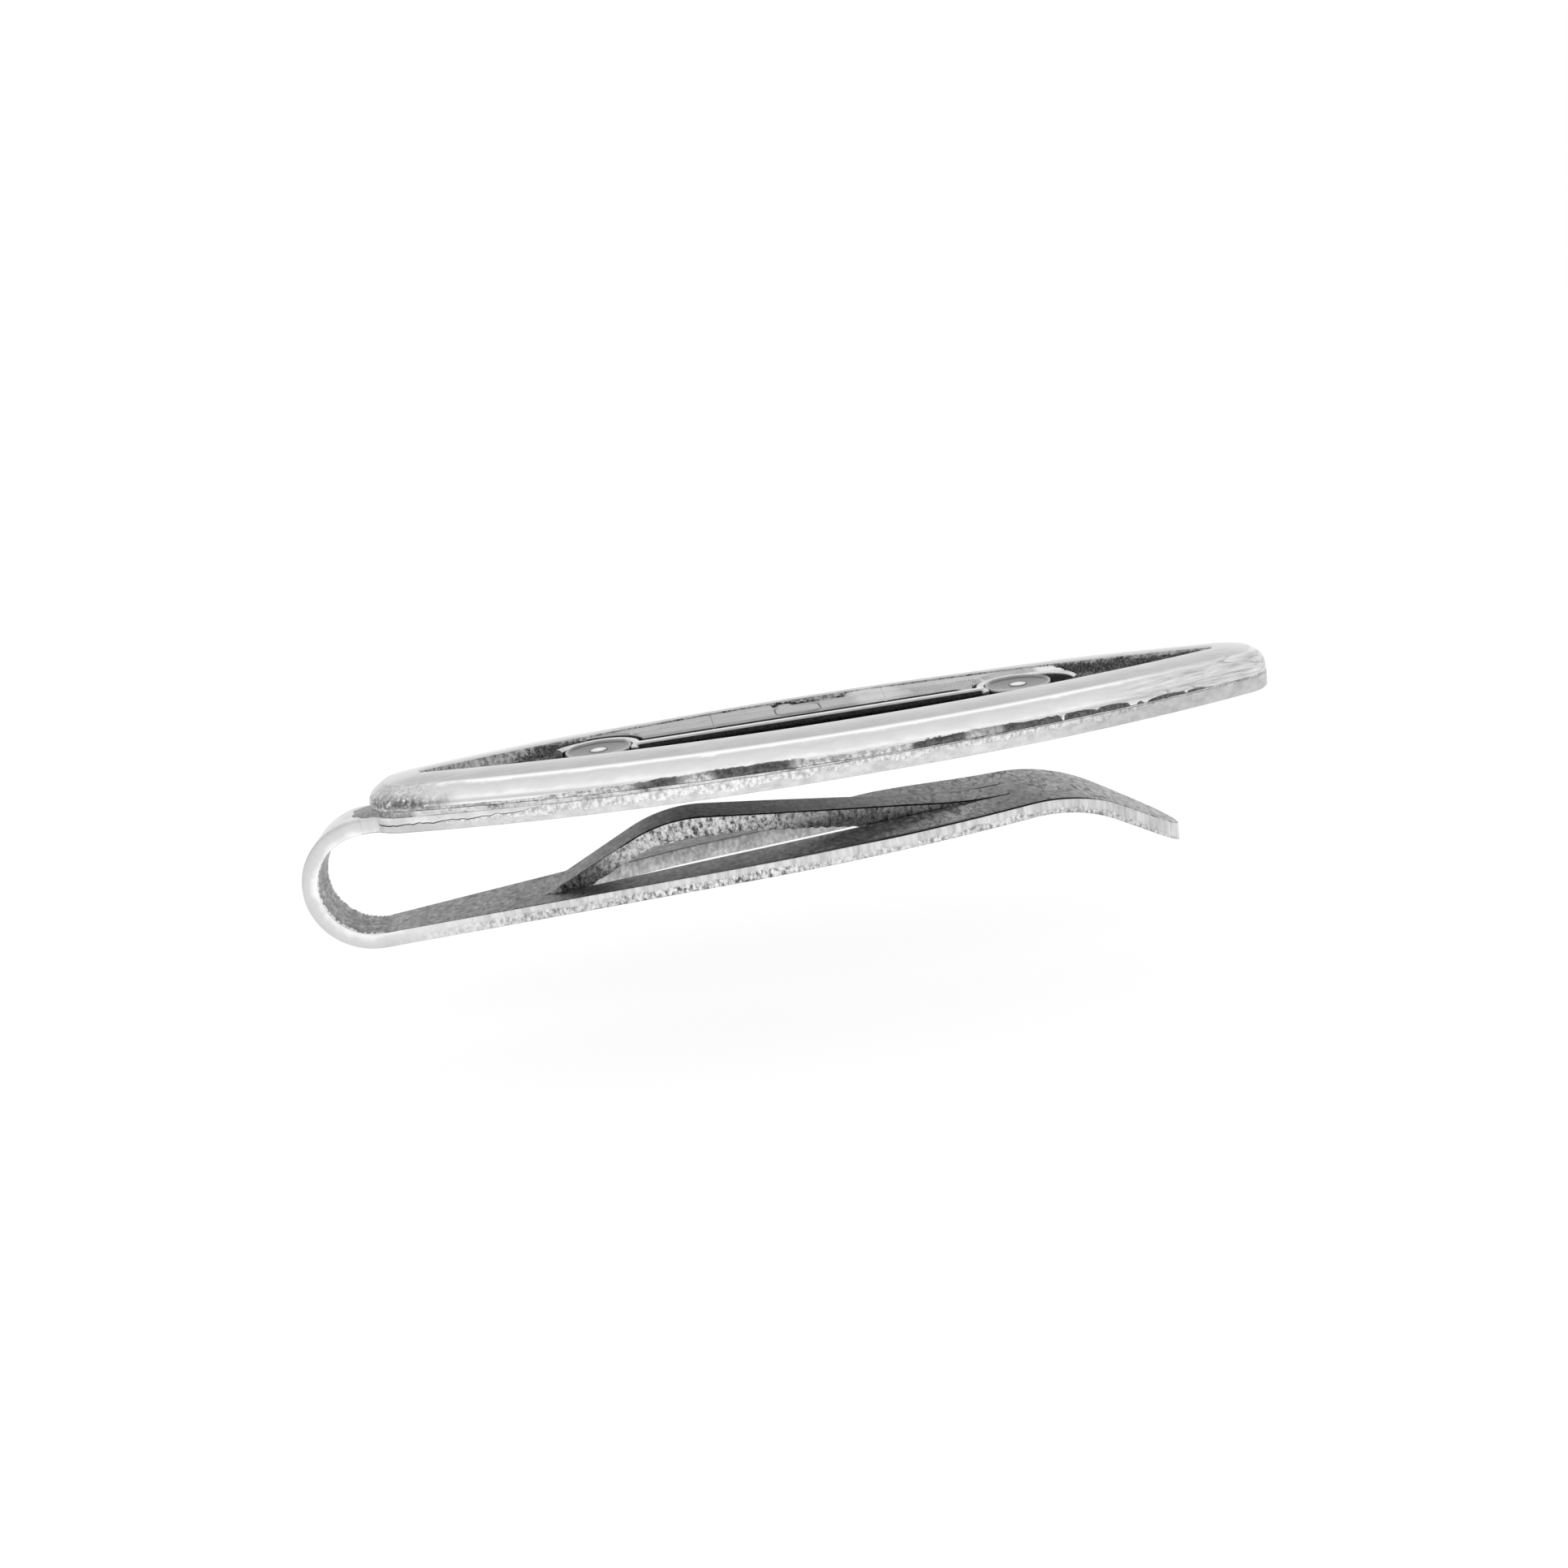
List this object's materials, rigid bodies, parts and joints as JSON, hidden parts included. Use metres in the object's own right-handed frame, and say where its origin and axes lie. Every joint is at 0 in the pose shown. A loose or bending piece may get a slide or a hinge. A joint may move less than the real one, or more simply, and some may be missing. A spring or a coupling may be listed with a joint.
{
  "type": "tie clip",
  "caption": "Silver tie clip: oval front with a sunk dark window holding an open motor car in relief, soldered to a sheet strip bent round into a springy slit tongue.",
  "frame": {"origin": "centre of the part's box, on its underside", "axes": "+X from the bend towards the open end, +Z from the tongue towards the front face"},
  "size_m": [0.0498, 0.0126, 0.0098],
  "materials": {
    "polished_silver": "polished, lightly scuffed",
    "relief_silver": "satin relief",
    "strip_silver": "rolled sheet, dulled by wear",
    "solder": "frosted solder"
  },
  "bodies": {
    "front": {"front_plate": "polished_silver", "solder_layer": "solder", "back_leaf": "strip_silver", "car_body": "relief_silver", "fender_strip": "relief_silver", "rear_wheel": "relief_silver", "front_wheel": "relief_silver", "headlamp": "relief_silver"},
    "tongue": {"tongue": "strip_silver"}
  },
  "joints": [
    {"name": "tongue_flex", "type": "hinge", "parent": "front", "child": "tongue", "pos_m": [-0.02451, 0, 0.00485], "axis": [0, 1, 0], "range_deg": [-4, 7], "stiffness_Nm_per_rad": 0.92}
  ]
}
